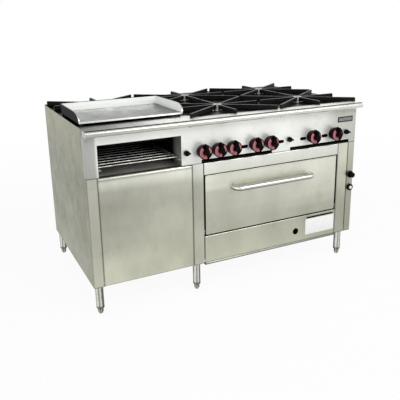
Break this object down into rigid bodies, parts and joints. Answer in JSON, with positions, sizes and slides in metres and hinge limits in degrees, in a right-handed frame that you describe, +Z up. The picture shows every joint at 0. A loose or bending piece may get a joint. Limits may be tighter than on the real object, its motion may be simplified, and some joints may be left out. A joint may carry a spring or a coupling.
{
  "type": "gas range with oven",
  "caption": "Free-standing catering gas range with star trivets over its burners, a loose griddle plate, an open toaster-broiler, drip trays and an oven with a drop-down door.",
  "frame": {"origin": "on the floor under the middle of the object's box", "axes": "+X to the right seen from the front, +Y towards the back, +Z up"},
  "size_m": [1.5, 0.9114, 0.9393],
  "materials": {
    "stainless": "brushed",
    "polished_tube": "satin",
    "wire": "bright",
    "liner_steel": "dull",
    "cast_iron": "matt",
    "griddle_steel": "satin",
    "brass": "satin",
    "pipe": "satin",
    "insulation": "matt",
    "black_plastic": "semi-gloss",
    "white_plastic": "satin",
    "grey_plastic": "matt"
  },
  "bodies": {
    "frame": {"left_side_panel": "stainless", "right_side_panel": "stainless", "back_panel": "stainless", "base_pan": "stainless", "middle_post": "stainless", "right_post": "stainless", "cabinet_panel": "stainless", "lower_front_panel": "stainless", "oven_top_rail": "stainless", "control_panel": "stainless", "front_rail": "stainless", "cooktop_deck": "stainless", "door_hinges": "stainless", "legs": "stainless", "oven_rack": "wire", "oven_liner": "liner_steel", "oven_floor": "liner_steel", "broiler_liner": "liner_steel", "inner_supports": "liner_steel", "burner_bodies": "cast_iron", "burner_heads": "cast_iron", "oven_burner": "cast_iron", "broiler_burner": "cast_iron", "gas_valves": "brass", "gas_manifold": "pipe", "gas_tubes": "pipe", "oven_insulation": "insulation", "igniter": "black_plastic", "thermostat": "grey_plastic"},
    "door": {"door_outer": "stainless", "door_inner": "stainless", "door_handle": "polished_tube"},
    "trivet_front_middle": {"trivet_front_middle": "cast_iron"},
    "trivet_front_right": {"trivet_front_right": "cast_iron"},
    "trivet_rear_left": {"trivet_rear_left": "cast_iron"},
    "trivet_rear_middle": {"trivet_rear_middle": "cast_iron"},
    "trivet_rear_right": {"trivet_rear_right": "cast_iron"},
    "foot_front_left": {"foot_front_left": "stainless"},
    "foot_front_middle": {"foot_front_middle": "stainless"},
    "foot_front_right": {"foot_front_right": "stainless"},
    "foot_rear_left": {"foot_rear_left": "stainless"},
    "foot_rear_middle": {"foot_rear_middle": "stainless"},
    "foot_rear_right": {"foot_rear_right": "stainless"},
    "knob_1": {"knob_1": "black_plastic"},
    "knob_2": {"knob_2": "black_plastic"},
    "knob_3": {"knob_3": "black_plastic"},
    "knob_4": {"knob_4": "black_plastic"},
    "knob_5": {"knob_5": "black_plastic"},
    "knob_6": {"knob_6": "black_plastic"},
    "knob_7": {"knob_7": "black_plastic"},
    "pilot_knob_1": {"pilot_knob_1": "black_plastic"},
    "pilot_knob_2": {"pilot_knob_2": "black_plastic"},
    "pilot_knob_3": {"pilot_knob_3": "black_plastic"},
    "broiler_rack": {"broiler_rack": "wire"},
    "drip_tray_left": {"drip_tray_left": "liner_steel"},
    "drip_tray_right": {"drip_tray_right": "liner_steel"},
    "griddle": {"griddle": "griddle_steel"},
    "thermostat_knob": {"thermostat_knob": "black_plastic"},
    "igniter_button": {"igniter_button": "white_plastic"}
  },
  "joints": [
    {"name": "door_hinge", "type": "hinge", "parent": "frame", "child": "door", "pos_m": [0.225, -0.37925, 0.307], "axis": [1, 0, 0], "range_deg": [0, 90]},
    {"name": "knob_1_turn", "type": "hinge", "parent": "frame", "child": "knob_1", "pos_m": [-0.19, -0.41425, 0.721], "axis": [0, -1, 0], "range_deg": [0, 180]},
    {"name": "knob_2_turn", "type": "hinge", "parent": "frame", "child": "knob_2", "pos_m": [-0.11, -0.41425, 0.721], "axis": [0, -1, 0], "range_deg": [0, 180]},
    {"name": "knob_3_turn", "type": "hinge", "parent": "frame", "child": "knob_3", "pos_m": [-0.029, -0.41425, 0.721], "axis": [0, -1, 0], "range_deg": [0, 180]},
    {"name": "knob_4_turn", "type": "hinge", "parent": "frame", "child": "knob_4", "pos_m": [0.098, -0.41425, 0.721], "axis": [0, -1, 0], "range_deg": [0, 180]},
    {"name": "knob_5_turn", "type": "hinge", "parent": "frame", "child": "knob_5", "pos_m": [0.186, -0.41425, 0.721], "axis": [0, -1, 0], "range_deg": [0, 180]},
    {"name": "knob_6_turn", "type": "hinge", "parent": "frame", "child": "knob_6", "pos_m": [0.448, -0.41425, 0.721], "axis": [0, -1, 0], "range_deg": [0, 180]},
    {"name": "knob_7_turn", "type": "hinge", "parent": "frame", "child": "knob_7", "pos_m": [0.592, -0.41425, 0.721], "axis": [0, -1, 0], "range_deg": [0, 180]},
    {"name": "pilot_knob_1_turn", "type": "hinge", "parent": "frame", "child": "pilot_knob_1", "pos_m": [-0.273, -0.40625, 0.721], "axis": [0, -1, 0], "range_deg": [0, 180]},
    {"name": "pilot_knob_2_turn", "type": "hinge", "parent": "frame", "child": "pilot_knob_2", "pos_m": [0.307, -0.40625, 0.721], "axis": [0, -1, 0], "range_deg": [0, 180]},
    {"name": "pilot_knob_3_turn", "type": "hinge", "parent": "frame", "child": "pilot_knob_3", "pos_m": [0.679, -0.40625, 0.721], "axis": [0, -1, 0], "range_deg": [0, 180]},
    {"name": "thermostat_turn", "type": "hinge", "parent": "frame", "child": "thermostat_knob", "pos_m": [0.727, -0.40625, 0.474], "axis": [0, -1, 0], "range_deg": [0, 270]},
    {"name": "igniter_push", "type": "slide", "parent": "frame", "child": "igniter_button", "axis": [0, 1, 0], "range_m": [0, 0.005], "stiffness_N_per_m": 800},
    {"name": "drip_tray_left_slide", "type": "slide", "parent": "frame", "child": "drip_tray_left", "axis": [0, -1, 0], "range_m": [0, 0.45]},
    {"name": "drip_tray_right_slide", "type": "slide", "parent": "frame", "child": "drip_tray_right", "axis": [0, -1, 0], "range_m": [0, 0.45]},
    {"name": "broiler_rack_slide", "type": "slide", "parent": "frame", "child": "broiler_rack", "axis": [0, -1, 0], "range_m": [0, 0.25]},
    {"name": "trivet_front_middle_lift", "type": "slide", "parent": "frame", "child": "trivet_front_middle", "axis": [0, 0, 1], "range_m": [0, 0.12]},
    {"name": "trivet_front_right_lift", "type": "slide", "parent": "frame", "child": "trivet_front_right", "axis": [0, 0, 1], "range_m": [0, 0.12]},
    {"name": "trivet_rear_left_lift", "type": "slide", "parent": "frame", "child": "trivet_rear_left", "axis": [0, 0, 1], "range_m": [0, 0.12]},
    {"name": "trivet_rear_middle_lift", "type": "slide", "parent": "frame", "child": "trivet_rear_middle", "axis": [0, 0, 1], "range_m": [0, 0.12]},
    {"name": "trivet_rear_right_lift", "type": "slide", "parent": "frame", "child": "trivet_rear_right", "axis": [0, 0, 1], "range_m": [0, 0.12]},
    {"name": "griddle_lift", "type": "slide", "parent": "frame", "child": "griddle", "axis": [0, 0, 1], "range_m": [0, 0.12]},
    {"name": "foot_front_left_turn", "type": "hinge", "parent": "frame", "child": "foot_front_left", "pos_m": [-0.722, -0.36925, 0.015], "axis": [0, 0, 1], "continuous": true},
    {"name": "foot_front_middle_turn", "type": "hinge", "parent": "frame", "child": "foot_front_middle", "pos_m": [-0.22, -0.36925, 0.015], "axis": [0, 0, 1], "continuous": true},
    {"name": "foot_front_right_turn", "type": "hinge", "parent": "frame", "child": "foot_front_right", "pos_m": [0.68, -0.36925, 0.015], "axis": [0, 0, 1], "continuous": true},
    {"name": "foot_rear_left_turn", "type": "hinge", "parent": "frame", "child": "foot_rear_left", "pos_m": [-0.722, 0.40075, 0.015], "axis": [0, 0, 1], "continuous": true},
    {"name": "foot_rear_middle_turn", "type": "hinge", "parent": "frame", "child": "foot_rear_middle", "pos_m": [-0.22, 0.40075, 0.015], "axis": [0, 0, 1], "continuous": true},
    {"name": "foot_rear_right_turn", "type": "hinge", "parent": "frame", "child": "foot_rear_right", "pos_m": [0.68, 0.40075, 0.015], "axis": [0, 0, 1], "continuous": true}
  ]
}
